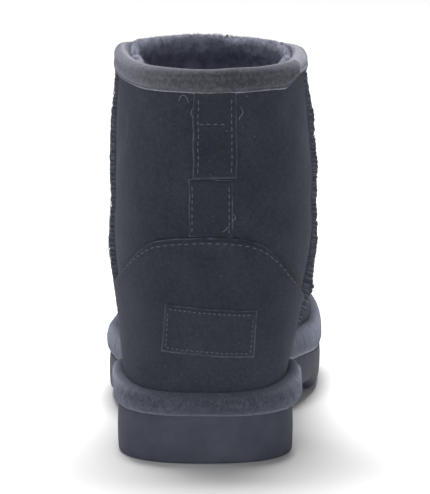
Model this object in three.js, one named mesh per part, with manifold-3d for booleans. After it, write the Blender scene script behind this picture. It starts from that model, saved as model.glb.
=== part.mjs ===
// Left sheepskin ankle boot, built as the pieces that a maker joins: a hollow sheepskin upper, a moulded
// sole, an insole, the padded rand round the base, the collar binding, the heel counter with its blank
// label, and the two lengths of back strap.
// Millimetres. +Z is up and the toe points along -Y. On this left boot +X is the lateral (outer) side.
// Inside the functions a place along the boot is its station: millimetres forward of the sole's back.

import * as THREE from "three";
import Module from "manifold-3d";

// ---- Driving dimensions -----------------------------------------------------------------------------

const LENGTH = 268; // the sole, heel to toe
const BALL_WIDTH = 93; // the upper at the ball of the foot
const RIM_HEIGHT = 178; // floor to the upper's top edge, under the binding, in front and behind
const HEEL_HEIGHT = 22; // floor to the feather line, where upper and sole meet, at the heel
const GAP = 0.35; // clearance between neighbouring pieces
const COUNTER_GAP = 0.5; // the same under the heel counter, where the heel turns sharply

const WALL = 8; // leather and clipped fleece together
const RIM_WALL = 4.4; // the same, shaved thin under the binding
const RIM_TAPER = 0.14; // share of the upper's rings over which the wall thins to the rim

const SOLE_MARGIN = { heel: 5, toe: 3.9 }; // how far the sole stands outside the upper's feather line
const SOLE_EDGE_RADIUS = { heel: 2.6, toe: 6.5 }; // rounding between the sole's wall and its tread
const TOE_SPRING = 11; // lift of the tread at the toe tip
// Lift of the tread at the waist, between two stations and with a ramp at both ends.
const ARCH = {
  lateral: { lift: 3.5, from: 82, until: 160, ramp: 20 },
  medial: { lift: 6.5, from: 82, until: 171, ramp: 22 },
};
const INSOLE_THICKNESS = 6;

const RAND_HEIGHT = { back: 10.5, sides: 14.5 }; // behind the heel, and along the sides and toe
const RAND_BULGE = { heel: 8.2, toe: 5 }; // how far the rand stands outside the upper
const RAND_LEAN = 2; // how much further it stands out on the medial side of the heel

const LEATHER = 1.6; // counter and straps
const BINDING_LEATHER = 1.6;
const BINDING_DROP = 7; // outer leg of the binding, below the rim
const BINDING_TUCK = 6; // inner leg of the binding
const BINDING_CROWN = 4; // height of its rolled top above the rim

// ---- The upper's form --------------------------------------------------------------------------------

// One row for each ring round the upper, from the feather line to the rim. A ring lies in a plane through
// its back point and its front point. Stations are shares of the length, heights are shares of the way
// from feather to rim, half-widths are shares of half the ball width; all are in percent.
//   back, front           stations of the ring's two ends
//   backUp, frontUp       heights of those ends
//   half, widest          half-width, and the station where it is reached
//   skew                  how far apart the lateral and medial widest stations lie, in mm to each side
//   toeFull               superellipse exponent of the front: 2 is an ellipse, more is fuller
//   heelHalf, heelReach   half-width where the rounded heel begins, and the length of that rounding
//   heelFull              superellipse exponent of the rounded heel
//   heelShift, toeShift   how far the ends lie to the lateral side of the sole's heel, in mm
//   waist                 mean depth of the hollow at the arch, in mm
const RINGS = [
  { back: 1.9, front: 98.1, backUp: 0, frontUp: 2, half: 100.5, widest: 64.5, skew: 8,
    toeFull: 2.5, heelHalf: 77, heelReach: 12.5, heelFull: 2.6, heelShift: 0, toeShift: -10.5, waist: 6.5 },
  { back: 1.2, front: 99.8, backUp: 7, frontUp: 10, half: 100, widest: 64, skew: 8,
    toeFull: 2.5, heelHalf: 77.5, heelReach: 13, heelFull: 2.6, heelShift: 0.4, toeShift: -10.5, waist: 6 },
  { back: 0.8, front: 98.9, backUp: 14, frontUp: 19, half: 96.5, widest: 60, skew: 7,
    toeFull: 2.4, heelHalf: 81, heelReach: 14.5, heelFull: 2.5, heelShift: -0.1, toeShift: -10.5, waist: 3.4 },
  { back: 0.9, front: 94.2, backUp: 21, frontUp: 26, half: 94.5, widest: 50, skew: 5,
    toeFull: 2.2, heelHalf: 85.5, heelReach: 17, heelFull: 2.4, heelShift: -0.9, toeShift: -9.5, waist: 1.2 },
  { back: 1.4, front: 86, backUp: 28, frontUp: 31, half: 95, widest: 41, skew: 3,
    toeFull: 2, heelHalf: 90, heelReach: 20, heelFull: 2.3, heelShift: -1.7, toeShift: -8.5, waist: 0.2 },
  { back: 2.1, front: 76, backUp: 35, frontUp: 37, half: 97, widest: 32.5, skew: 1,
    toeFull: 1.9, heelHalf: 94.5, heelReach: 22.5, heelFull: 2.3, heelShift: -2.4, toeShift: -7.5, waist: 0 },
  { back: 2.8, front: 65.5, backUp: 42.5, frontUp: 46, half: 98.5, widest: 27.5, skew: 0,
    toeFull: 1.9, heelHalf: 98, heelReach: 24, heelFull: 2.3, heelShift: -3, toeShift: -6, waist: 0 },
  { back: 3.3, front: 57, backUp: 51.5, frontUp: 57, half: 99.5, widest: 25, skew: 0,
    toeFull: 2, heelHalf: 99.5, heelReach: 21.7, heelFull: 2.3, heelShift: -3.4, toeShift: -5, waist: 0 },
  { back: 3.4, front: 51.5, backUp: 63, frontUp: 70, half: 98.5, widest: 24, skew: 0,
    toeFull: 2.1, heelHalf: 98.5, heelReach: 20.6, heelFull: 2.25, heelShift: -3.6, toeShift: -4, waist: 0 },
  { back: 3.1, front: 48.5, backUp: 80.5, frontUp: 84.5, half: 95.5, widest: 24, skew: 0,
    toeFull: 2.1, heelHalf: 95.5, heelReach: 20.9, heelFull: 2.25, heelShift: -3.2, toeShift: -2.5, waist: 0 },
  { back: 2.6, front: 46.6, backUp: 100, frontUp: 100, half: 91.5, widest: 24.5, skew: 0,
    toeFull: 2.1, heelHalf: 91.5, heelReach: 21.9, heelFull: 2.3, heelShift: -2.9, toeShift: -1.5, waist: 0 },
];

const WAIST_STATION = 0.37 * LENGTH;
const WAIST_REACH = 0.14 * LENGTH;
const WAIST_SHARE = { lateral: 0.5, medial: 1.5 }; // the arch hollows the medial side more

// The feather line rises a little at the waist and dips under the ball; both fade out up the upper.
const FEATHER_WAVES = [
  { station: 0.41 * LENGTH, reach: 0.13 * LENGTH, rise: 1.6 },
  { station: 0.7 * LENGTH, reach: 0.15 * LENGTH, rise: -4.6 },
];
const WAVE_FADE = 0.3; // share of the upper's rings over which they fade

// The collar rises between its front and its back, more on the lateral side.
// Fade is the share of the rings that follow it, and sharp is an even power that keeps it to the sides.
const RIM_RISE = { lateral: 2.4, medial: 0.8, fade: 0.2, sharp: 6 };

const bump = (x, middle, reach) => Math.exp(-(((x - middle) / reach) ** 2));
const clamp01 = (x) => Math.min(1, Math.max(0, x));
const smooth = (x) => clamp01(x) ** 2 * (3 - 2 * clamp01(x));

// A ring's columns at height share v, by a Catmull-Rom spline through the rows.
function ringAt(v) {
  const at = clamp01(v) * (RINGS.length - 1);
  const i = Math.min(Math.floor(at), RINGS.length - 2);
  const t = at - i;
  const [a, b, c, d] = [i - 1, i, i + 1, i + 2].map(
    (k) => RINGS[Math.min(Math.max(k, 0), RINGS.length - 1)],
  );
  const ring = {};
  for (const key of Object.keys(b)) {
    const [p, q, r, s] = [a[key], b[key], c[key], d[key]];
    const bend = 2 * p - 5 * q + 4 * r - s + t * (3 * q - p - 3 * r + s);
    ring[key] = q + (t / 2) * (r - p + t * bend);
  }
  return ring;
}

const heightOf = (share) => HEEL_HEIGHT + (share / 100) * (RIM_HEIGHT - HEEL_HEIGHT);

// Half-width of a ring at a station, on the lateral (side 1) or medial (side -1) side.
function halfWidth(ring, side, station) {
  const widest = (ring.widest / 100) * LENGTH - side * ring.skew;
  const [back, front] = [(ring.back / 100) * LENGTH, (ring.front / 100) * LENGTH];
  const heelReach = Math.min((ring.heelReach / 100) * LENGTH, widest - back);
  const forward = station > widest;
  const full = forward ? ring.toeFull : ring.heelFull;
  const rounded = forward ? (station - widest) / (front - widest) : 1 - (station - back) / heelReach;
  const oval = (1 - clamp01(rounded) ** full) ** (1 / full);
  const narrowing = smooth((widest - station) / (widest - back - heelReach + 1));
  const percent = ring.half + (ring.heelHalf - ring.half) * (forward ? 0 : narrowing);
  const share = side > 0 ? WAIST_SHARE.lateral : WAIST_SHARE.medial;
  const hollow = ring.waist * share * bump(station, WAIST_STATION, WAIST_REACH);
  return ((percent / 200) * BALL_WIDTH - hollow) * oval;
}

// Where the ring's middle line lies at a station: the boot curves towards its medial side.
function middleLine(ring, station) {
  const [back, front] = [(ring.back / 100) * LENGTH, (ring.front / 100) * LENGTH];
  const along = clamp01((station - back) / (front - back));
  return ring.heelShift + (ring.toeShift - ring.heelShift) * along ** 2;
}

function ringHeight(ring, v, station) {
  const [back, front] = [(ring.back / 100) * LENGTH, (ring.front / 100) * LENGTH];
  const along = (station - back) / (front - back);
  const [low, high] = [heightOf(ring.backUp), heightOf(ring.frontUp)];
  const fade = 1 - smooth(v / WAVE_FADE);
  const wave = FEATHER_WAVES.reduce((sum, w) => sum + w.rise * bump(station, w.station, w.reach), 0);
  return low + (high - low) * along + wave * fade;
}

// A point of the upper's outside. v runs from 0 at the feather line to 1 at the rim, and the angle runs
// round the ring: 0 at the toe, a quarter turn at the lateral side, half a turn at the back of the heel.
function upperSkin(v, angle) {
  const ring = ringAt(v);
  const side = Math.sin(angle) >= 0 ? 1 : -1;
  const cos = Math.cos(angle);
  const widest = (ring.widest / 100) * LENGTH - side * ring.skew;
  const end = ((cos > 0 ? ring.front : ring.back) / 100) * LENGTH;
  const station = widest + (end - widest) * Math.abs(cos);
  const x = middleLine(ring, station) + side * halfWidth(ring, side, station);
  const rise = (side > 0 ? RIM_RISE.lateral : RIM_RISE.medial) * Math.sin(angle) ** RIM_RISE.sharp;
  const height = ringHeight(ring, v, station) + rise * smooth(1 - (1 - v) / RIM_RISE.fade);
  return new THREE.Vector3(x, LENGTH / 2 - station, height);
}

// The outward unit normal of the upper's outside, from points a small step away.
function skinNormal(v, angle) {
  const step = 0.004;
  const [low, high] = [Math.max(0, v - step), Math.min(1, v + step)];
  const up = upperSkin(high, angle).sub(upperSkin(low, angle));
  const round = upperSkin(v, angle + step).sub(upperSkin(v, angle - step));
  return round.cross(up).normalize();
}

const offsetSkin = (v, angle, outward) =>
  upperSkin(v, angle).addScaledVector(skinNormal(v, angle), outward);

// Sheepskin is shaved thinner towards the rim.
const wallAt = (v) => RIM_WALL + (WALL - RIM_WALL) * smooth((1 - v) / RIM_TAPER);

// ---- Places on the upper ------------------------------------------------------------------------------

const stationOf = (point) => LENGTH / 2 - point.y;

// The share v at which a way up the upper, given as angle(v), reaches a height.
function shareAtHeight(angleAt, height) {
  let [low, high] = [0, 1];
  for (let i = 0; i < 30; i++) {
    const v = (low + high) / 2;
    if (upperSkin(v, angleAt(v)).z < height) low = v;
    else high = v;
  }
  return (low + high) / 2;
}

// The ring angle behind the widest station at which the skin passes a given x.
function angleAtX(v, x) {
  let [low, high] = [Math.PI / 2, 1.5 * Math.PI];
  for (let i = 0; i < 30; i++) {
    const angle = (low + high) / 2;
    if (upperSkin(v, angle).x > x) low = angle;
    else high = angle;
  }
  return (low + high) / 2;
}

// The ring angle at a station on the lateral (side 1) or medial (side -1) side.
function angleAtStation(v, side, station) {
  const ring = ringAt(v);
  const widest = (ring.widest / 100) * LENGTH - side * ring.skew;
  const end = ((station > widest ? ring.front : ring.back) / 100) * LENGTH;
  const angle = Math.acos(Math.sign(station - widest) * clamp01((station - widest) / (end - widest)));
  return side > 0 ? angle : 2 * Math.PI - angle;
}

// A point over the back of the boot, given its x and its height.
function backPoint(x, height, outward) {
  const v = shareAtHeight((share) => angleAtX(share, x), height);
  return offsetSkin(v, angleAtX(v, x), outward);
}

// ---- Building closed meshes -------------------------------------------------------------------------------

// A closed mesh from a grid of sections. point(i, j) gives corner j of section i. Each section is a closed
// polygon. Sections join end to end in a closed loop, or the first and last are capped.
function loft(sections, corners, point, closedLoop) {
  const positions = [];
  for (let i = 0; i < sections; i++)
    for (let j = 0; j < corners; j++) positions.push(...point(i, j).toArray());
  const at = (i, j) => (i % sections) * corners + (j % corners);
  const faces = [];
  for (let i = 0; i < (closedLoop ? sections : sections - 1); i++)
    for (let j = 0; j < corners; j++) {
      const [a, b, c, d] = [at(i, j), at(i + 1, j), at(i + 1, j + 1), at(i, j + 1)];
      faces.push(a, b, c, a, c, d);
    }
  if (!closedLoop) {
    const last = sections - 1;
    for (let j = 0; j < corners / 2 - 1; j++) {
      const k = corners - 1 - j; // a cap is a ladder of quads between the two halves of the polygon
      faces.push(at(0, j), at(0, j + 1), at(0, k - 1), at(0, j), at(0, k - 1), at(0, k));
      faces.push(at(last, j), at(last, k - 1), at(last, j + 1));
      faces.push(at(last, j), at(last, k), at(last, k - 1));
    }
  }
  return facingOut(positions, faces);
}

// A geometry with its faces turned outwards, whichever way round they were given.
function facingOut(positions, faces) {
  const corner = (k) => new THREE.Vector3().fromArray(positions, 3 * faces[k]);
  let volume = 0;
  for (let k = 0; k < faces.length; k += 3)
    volume += corner(k).dot(corner(k + 1).cross(corner(k + 2)));
  if (volume < 0)
    for (let k = 0; k < faces.length; k += 3) [faces[k + 1], faces[k + 2]] = [faces[k + 2], faces[k + 1]];
  const geometry = new THREE.BufferGeometry();
  geometry.setAttribute("position", new THREE.Float32BufferAttribute(positions, 3));
  geometry.setIndex(faces);
  return geometry;
}

// A sheet of leather: place(across, along, outward) maps shares 0 to 1 and an offset from the skin.
function sheet(place, across, along, inner, outer) {
  const rows = 2 * (along + 1);
  return loft(
    across + 1,
    rows,
    (i, j) => (j <= along ? place(i / across, j / along, outer) : place(i / across, (rows - 1 - j) / along, inner)),
    false,
  );
}

// ---- The pieces ------------------------------------------------------------------------------------------------

const ROUND = 56; // sections round the boot
const RISE = 20; // rings up the upper

function upper() {
  const corners = 2 * (RISE + 1);
  return loft(
    ROUND,
    corners,
    (i, j) => {
      const v = (j <= RISE ? j : corners - 1 - j) / RISE;
      const angle = (2 * Math.PI * i) / ROUND;
      if (j <= RISE) return upperSkin(v, angle);
      const inside = offsetSkin(v, angle, -wallAt(v));
      if (v === 0) inside.z = upperSkin(0, angle).z; // both edges of the open bottom lie level
      if (v === 1) inside.z = upperSkin(1, angle).z;
      return inside;
    },
    true,
  );
}

// The feather line moved outwards in plan, and its height at that station.
function featherPoint(angle, outward) {
  const point = upperSkin(0, angle);
  const normal = skinNormal(0, angle).setZ(0).normalize();
  return point.addScaledVector(normal, outward);
}
const featherHeight = (station) => ringHeight(RINGS[0], 0, Math.min(Math.max(station, 5), LENGTH - 5));

// The height of the tread's edge: flat under heel and ball, lifted at the waist and towards the toe.
function treadHeight(station, side) {
  const arch = side > 0 ? ARCH.lateral : ARCH.medial;
  const ramps = smooth((station - arch.from) / arch.ramp) * smooth((arch.until - station) / arch.ramp);
  const toe = TOE_SPRING * clamp01((station - 204) / (LENGTH - 204)) ** 1.8;
  return arch.lift * ramps + toe;
}

// A slab under or in the boot: edges of {outward, z} by station and side, from its upper to its lower face.
function slab(edges) {
  const half = ROUND / 2;
  const positions = [];
  for (const edge of edges)
    for (let i = 0; i < ROUND; i++) {
      const angle = (2 * Math.PI * i) / ROUND;
      const point = featherPoint(angle, edge.outward(stationOf(upperSkin(0, angle))));
      point.z = edge.z(stationOf(point), Math.sign(point.x));
      positions.push(...point.toArray());
    }
  const at = (ring, i) => ring * ROUND + ((i + ROUND) % ROUND);
  const faces = [];
  for (let ring = 0; ring < edges.length - 1; ring++)
    for (let i = 0; i < ROUND; i++) {
      const [a, b, c, d] = [at(ring, i), at(ring, i + 1), at(ring + 1, i + 1), at(ring + 1, i)];
      faces.push(a, b, c, a, c, d);
    }
  const last = edges.length - 1;
  for (let i = 0; i < half - 1; i++) {
    faces.push(at(0, i), at(0, -i - 1), at(0, i + 1));
    faces.push(at(last, i), at(last, i + 1), at(last, -i - 1));
  }
  for (let i = 1; i < half; i++) {
    faces.push(at(0, i), at(0, -i), at(0, -i - 1));
    faces.push(at(last, i), at(last, -i - 1), at(last, -i));
  }
  return facingOut(positions, faces);
}

// A value that passes from the heel's to the toe's over the middle of the boot.
const fromHeelToToe = (value, station) =>
  value.heel + (value.toe - value.heel) * smooth((station - 30) / (0.45 * LENGTH));

function soleBody() {
  const margin = (s) => fromHeelToToe(SOLE_MARGIN, s);
  const radius = (s) => fromHeelToToe(SOLE_EDGE_RADIUS, s);
  const top = { outward: margin, z: (s) => featherHeight(s) - GAP };
  const rounding = [0, 0.25, 0.5, 0.75, 1].map((share) => {
    const turn = (share * Math.PI) / 2;
    return {
      outward: (s) => margin(s) - radius(s) * (1 - Math.cos(turn)),
      z: (s, side) => treadHeight(s, side) + radius(s) * (1 - Math.sin(turn)),
    };
  });
  return slab([top, ...rounding]);
}

// ---- The tread --------------------------------------------------------------------------------------------

const GROOVE = { width: 4, depth: 2.6, wave: 2.2, bends: 6, border: 5, pitch: 13 };
const GROOVE_FIELDS = [
  { from: 16, to: 81 }, // heel
  { from: 169, to: 247 }, // forefoot
];

// A wavy bar that cuts one groove across the tread and stops short of the edge.
function grooveBar(station) {
  const ring = RINGS[0];
  const middle = middleLine(ring, station);
  const reach = (side) => middle + side * (halfWidth(ring, side, station) - GROOVE.border);
  const [low, high] = [reach(-1), reach(1)];
  const wave = Array.from({ length: GROOVE.bends + 1 }, (_, k) => ({
    x: low + ((high - low) * k) / GROOVE.bends,
    y: LENGTH / 2 - station + (k % 2 ? GROOVE.wave : -GROOVE.wave),
  }));
  const edge = (shift) => wave.map((p) => new THREE.Vector2(p.x, p.y + shift));
  const outline = [...edge(-GROOVE.width / 2), ...edge(GROOVE.width / 2).reverse()];
  const bar = new THREE.ExtrudeGeometry(new THREE.Shape(outline), {
    depth: GROOVE.depth + 10,
    bevelEnabled: false,
  });
  return bar.translate(0, 0, treadHeight(station, 1) - 10);
}

// ---- Joining and cutting ------------------------------------------------------------------------------------

const wasm = await Module();
wasm.setup();

// A geometry as a manifold solid, with its shared corners merged.
function toSolid(geometry) {
  const source = geometry.getAttribute("position");
  const index = geometry.index ? [...geometry.index.array] : [...Array(source.count).keys()];
  const seen = new Map();
  const corners = [];
  const faces = index.map((k) => {
    const point = [source.getX(k), source.getY(k), source.getZ(k)];
    const key = point.map((x) => Math.round(x * 1e4)).join();
    if (!seen.has(key)) {
      seen.set(key, corners.length / 3);
      corners.push(...point);
    }
    return seen.get(key);
  });
  const mesh = new wasm.Mesh({
    numProp: 3,
    vertProperties: new Float32Array(corners),
    triVerts: new Uint32Array(faces),
  });
  return new wasm.Manifold(mesh);
}

function toGeometry(solid) {
  const mesh = solid.getMesh();
  const geometry = new THREE.BufferGeometry();
  geometry.setAttribute("position", new THREE.Float32BufferAttribute(mesh.vertProperties, 3));
  geometry.setIndex([...mesh.triVerts]);
  return geometry;
}

function sole() {
  let solid = toSolid(soleBody());
  for (const field of GROOVE_FIELDS)
    for (let station = field.from; station <= field.to; station += GROOVE.pitch)
      solid = solid.subtract(toSolid(grooveBar(station)));
  return toGeometry(solid);
}

function insole() {
  const inward = () => -(WALL + GAP);
  return slab([
    { outward: inward, z: (s) => featherHeight(s) + INSOLE_THICKNESS },
    { outward: inward, z: (s) => featherHeight(s) },
  ]);
}

// The padded rand: a D-shaped roll whose flat side follows the upper.
const RAND_CORNERS = [
  { out: 0, up: 0.06 }, // shares of the bulge and of the height
  { out: 0.45, up: 0 },
  { out: 0.82, up: 0.1 },
  { out: 1, up: 0.32 },
  { out: 0.97, up: 0.56 },
  { out: 0.76, up: 0.8 },
  { out: 0.42, up: 0.95 },
  { out: 0, up: 1 },
  { out: 0, up: 0.53 },
];
const randHeight = (station) =>
  RAND_HEIGHT.back + (RAND_HEIGHT.sides - RAND_HEIGHT.back) * smooth(station / 35);

function rand() {
  return loft(
    ROUND,
    RAND_CORNERS.length,
    (i, j) => {
      const angle = (2 * Math.PI * i) / ROUND;
      const corner = RAND_CORNERS[j];
      const base = upperSkin(0, angle);
      const station = stationOf(base);
      const v = shareAtHeight(() => angle, base.z + corner.up * randHeight(station));
      const normal = skinNormal(v, angle).setZ(0).normalize();
      const lean = -Math.sin(angle) * fromHeelToToe({ heel: RAND_LEAN, toe: 0 }, station);
      const outward = GAP + corner.out * (fromHeelToToe(RAND_BULGE, station) + lean - GAP);
      return upperSkin(v, angle).addScaledVector(normal, outward);
    },
    true,
  );
}

// The binding is rolled over the rim: a leg down the outside, a round crown and a leg down the fleece.
const CROWN_STEPS = 4;
const BINDING_PATH = [
  { turn: 0, drop: BINDING_DROP },
  { turn: 0, drop: BINDING_DROP / 2 },
  ...Array.from({ length: CROWN_STEPS + 1 }, (_, k) => ({ turn: (Math.PI * k) / CROWN_STEPS, drop: 0 })),
  { turn: Math.PI, drop: BINDING_TUCK },
];

// A point of the rolled path, clear of the wall sideways and of the rim upwards.
function bindingPoint(angle, { turn, drop }, clear, clearAbove) {
  if (drop > 0) {
    const v = shareAtHeight(() => angle, upperSkin(1, angle).z - drop);
    return offsetSkin(v, angle, turn === 0 ? clear : -wallAt(v) - clear);
  }
  const half = RIM_WALL / 2;
  const point = upperSkin(1, angle);
  const outward = skinNormal(1, angle).setZ(0).normalize();
  point.addScaledVector(outward, -half + (half + clear) * Math.cos(turn));
  return point.setZ(point.z + clearAbove * Math.sin(turn));
}

function binding() {
  const count = BINDING_PATH.length;
  return loft(
    ROUND,
    2 * count,
    (i, j) => {
      const angle = (2 * Math.PI * i) / ROUND;
      if (j < count) return bindingPoint(angle, BINDING_PATH[j], GAP + BINDING_LEATHER, BINDING_CROWN);
      return bindingPoint(angle, BINDING_PATH[2 * count - 1 - j], GAP, GAP);
    },
    true,
  );
}

// ---- Overlays on the back -------------------------------------------------------------------------------------

const SEAM = { top: 66, bottom: 84 }; // stations of the side seams at the rim and at the rand
const seamStation = (height) =>
  SEAM.bottom + ((SEAM.top - SEAM.bottom) * (height - HEEL_HEIGHT)) / (RIM_HEIGHT - HEEL_HEIGHT);

// The counter's top edge: height at each share of the way from the back to a side seam.
const COUNTER_EDGE = [
  { share: 0, lateral: 102.8, medial: 102.8 },
  { share: 0.2, lateral: 102.4, medial: 101.3 },
  { share: 0.35, lateral: 99.3, medial: 94.6 },
  { share: 0.5, lateral: 91.5, medial: 83 },
  { share: 0.7, lateral: 80, medial: 72 },
  { share: 1, lateral: 70, medial: 62 },
];
function counterEdge(share, side) {
  const k = Math.min(COUNTER_EDGE.findLastIndex((row) => row.share <= share), COUNTER_EDGE.length - 2);
  const [a, b] = [COUNTER_EDGE[k], COUNTER_EDGE[k + 1]];
  const key = side > 0 ? "lateral" : "medial";
  return a[key] + ((b[key] - a[key]) * (share - a.share)) / (b.share - a.share);
}

function heelCounter() {
  const clear = 0.6; // between the counter's foot and the rand
  return sheet(
    (across, along, outward) => {
      const side = across < 0.5 ? 1 : -1;
      const share = Math.abs(1 - 2 * across);
      const angleAt = (v) => {
        const height = upperSkin(v, Math.PI).z;
        const seam = angleAtStation(v, side, seamStation(height) - 3);
        return Math.PI + (seam - Math.PI) * share;
      };
      const base = upperSkin(0, angleAt(0));
      const foot = base.z + randHeight(stationOf(base)) + clear;
      const height = foot + (counterEdge(share, side) - foot) * along;
      const v = shareAtHeight(angleAt, height);
      return offsetSkin(v, angleAt(v), outward);
    },
    32,
    6,
    COUNTER_GAP,
    COUNTER_GAP + LEATHER,
  );
}

// A rectangular patch over the back of the boot, turned by a tilt, at an offset from the skin.
function patch({ x, height, width, tall, tilt, inner, outer }, across, along) {
  const turn = THREE.MathUtils.degToRad(tilt);
  return sheet(
    (u, w, outward) => {
      const corner = new THREE.Vector2((0.5 - u) * width, (w - 0.5) * tall).rotateAround(
        new THREE.Vector2(),
        turn,
      );
      return backPoint(x + corner.x, height + corner.y, outward);
    },
    across,
    along,
    inner,
    outer,
  );
}

const STRAP = { inner: GAP, outer: GAP + LEATHER, tilt: 0 };
const BACK_STRAP_LOWER = { ...STRAP, x: -2.5, width: 20.2, height: 117.3, tall: 27 };
const BACK_STRAP_UPPER = { ...STRAP, x: -4.4, width: 19.8, height: 150.7, tall: 39 };
const LABEL = { x: -1.4, height: 60.6, width: 39.8, tall: 21, tilt: 4.2, inner: 2.5, outer: 3.8 };

// ---- The assembly -------------------------------------------------------------------------------------------

const SUEDE = { color: 0x2c303a, roughness: 0.95, metalness: 0 };
const PIECES = [
  { name: "upper", shape: upper(), look: SUEDE },
  { name: "sole", shape: sole(), look: { color: 0x3c404d, roughness: 0.7, metalness: 0 } },
  { name: "insole", shape: insole(), look: { color: 0x33353f, roughness: 1, metalness: 0 } },
  { name: "rand", shape: rand(), look: { ...SUEDE, color: 0x4b4e5b } },
  { name: "collar_binding", shape: binding(), look: { ...SUEDE, color: 0x54545c } },
  { name: "heel_counter", shape: heelCounter(), look: SUEDE },
  { name: "back_strap_lower", shape: patch(BACK_STRAP_LOWER, 6, 5), look: SUEDE },
  { name: "back_strap_upper", shape: patch(BACK_STRAP_UPPER, 6, 6), look: SUEDE },
  { name: "label_patch", shape: patch(LABEL, 10, 3), look: SUEDE },
];

const boot = new THREE.Group();
for (const { name, shape, look } of PIECES) {
  const mesh = new THREE.Mesh(shape, new THREE.MeshStandardMaterial(look));
  mesh.name = name;
  boot.add(mesh);
}

// The origin is the middle of the boot's footprint, on the floor.
const extent = new THREE.Box3().setFromObject(boot, true);
const middle = extent.getCenter(new THREE.Vector3());
boot.position.set(-middle.x, -middle.y, -extent.min.z);

export default boot;
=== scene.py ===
"""The looks of a left sheepskin ankle boot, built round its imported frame.

Lengths are millimetres until a mesh is made. A place on the boot is a share v of the way up its rings,
from the feather line (0) to the rim (1), and an angle round the ring: 0 at the toe, a quarter turn at the
lateral side, half a turn at the back of the heel. A station is a distance forward of the sole's back.
"""
import math

import bpy
import numpy as np
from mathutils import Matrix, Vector


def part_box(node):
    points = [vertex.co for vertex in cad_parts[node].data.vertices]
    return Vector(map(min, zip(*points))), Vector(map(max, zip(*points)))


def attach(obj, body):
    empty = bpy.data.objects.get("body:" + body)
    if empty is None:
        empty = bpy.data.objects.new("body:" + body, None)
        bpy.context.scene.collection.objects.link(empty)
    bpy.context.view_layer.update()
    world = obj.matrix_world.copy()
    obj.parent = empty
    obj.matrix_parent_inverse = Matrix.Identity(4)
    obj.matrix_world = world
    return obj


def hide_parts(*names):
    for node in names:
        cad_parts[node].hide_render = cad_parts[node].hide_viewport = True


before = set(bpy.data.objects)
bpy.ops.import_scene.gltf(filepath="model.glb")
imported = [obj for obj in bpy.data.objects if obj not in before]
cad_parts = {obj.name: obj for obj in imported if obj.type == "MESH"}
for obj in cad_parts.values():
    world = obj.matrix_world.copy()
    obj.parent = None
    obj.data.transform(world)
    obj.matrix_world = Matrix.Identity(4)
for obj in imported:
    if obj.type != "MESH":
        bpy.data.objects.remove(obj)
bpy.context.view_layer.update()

TAU = 2 * math.pi
LENGTH = 268
BALL_WIDTH = 93
HEEL_HEIGHT = 22
RIM_HEIGHT = 178
WALL = 8
HIDE = 1.7  # the suede and its hide; the rest of the wall is fleece

# ---- The boot's form ----

# The rings round the upper, from the feather line to the rim. Stations are percent of the length, heights
# percent of the way from feather to rim, half-widths percent of half the ball width, shifts in mm.
COLUMNS = ("back", "front", "back_up", "front_up", "half", "widest", "skew", "toe_full",
           "heel_half", "heel_reach", "heel_full", "heel_shift", "toe_shift", "waist")
RINGS = np.array([
    (1.9, 98.1, 0, 2, 100.5, 64.5, 8, 2.5, 77, 12.5, 2.6, 0, -10.5, 6.5),
    (1.2, 99.8, 7, 10, 100, 64, 8, 2.5, 77.5, 13, 2.6, 0.4, -10.5, 6),
    (0.8, 98.9, 14, 19, 96.5, 60, 7, 2.4, 81, 14.5, 2.5, -0.1, -10.5, 3.4),
    (0.9, 94.2, 21, 26, 94.5, 50, 5, 2.2, 85.5, 17, 2.4, -0.9, -9.5, 1.2),
    (1.4, 86, 28, 31, 95, 41, 3, 2, 90, 20, 2.3, -1.7, -8.5, 0.2),
    (2.1, 76, 35, 37, 97, 32.5, 1, 1.9, 94.5, 22.5, 2.3, -2.4, -7.5, 0),
    (2.8, 65.5, 42.5, 46, 98.5, 27.5, 0, 1.9, 98, 24, 2.3, -3, -6, 0),
    (3.3, 57, 51.5, 57, 99.5, 25, 0, 2, 99.5, 21.7, 2.3, -3.4, -5, 0),
    (3.4, 51.5, 63, 70, 98.5, 24, 0, 2.1, 98.5, 20.6, 2.25, -3.6, -4, 0),
    (3.1, 48.5, 80.5, 84.5, 95.5, 24, 0, 2.1, 95.5, 20.9, 2.25, -3.2, -2.5, 0),
    (2.6, 46.6, 100, 100, 91.5, 24.5, 0, 2.1, 91.5, 21.9, 2.3, -2.9, -1.5, 0),
])
WAIST = {"station": 0.37 * LENGTH, "reach": 0.14 * LENGTH, "lateral": 0.5, "medial": 1.5}
FEATHER_WAVES = (
    {"station": 0.41 * LENGTH, "reach": 0.13 * LENGTH, "rise": 1.6},
    {"station": 0.7 * LENGTH, "reach": 0.15 * LENGTH, "rise": -4.6},
)
WAVE_FADE = 0.3
RIM_RISE = {"lateral": 2.4, "medial": 0.8, "fade": 0.2, "sharp": 6}


def bump(x, middle, reach):
    return np.exp(-(((x - middle) / reach) ** 2))


def smooth(x):
    x = np.clip(x, 0, 1)
    return x * x * (3 - 2 * x)


def mix(a, b, share):
    return a + (b - a) * share


def spline(rows, at):
    """A Catmull-Rom spline through evenly spaced rows of values, column by column; at counts the rows."""
    i = np.minimum(at.astype(int), len(rows) - 2)
    t = (at - i)[..., None]
    p, q, r, s = (rows[np.clip(i + k, 0, len(rows) - 1)] for k in (-1, 0, 1, 2))
    bend = 2 * p - 5 * q + 4 * r - s + t * (3 * q - p - 3 * r + s)
    return np.moveaxis(q + t / 2 * (r - p + t * bend), -1, 0)


def ring_at(v):
    """The ring's columns at share v."""
    return dict(zip(COLUMNS, spline(RINGS, np.clip(v, 0, 1) * (len(RINGS) - 1))))


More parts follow.
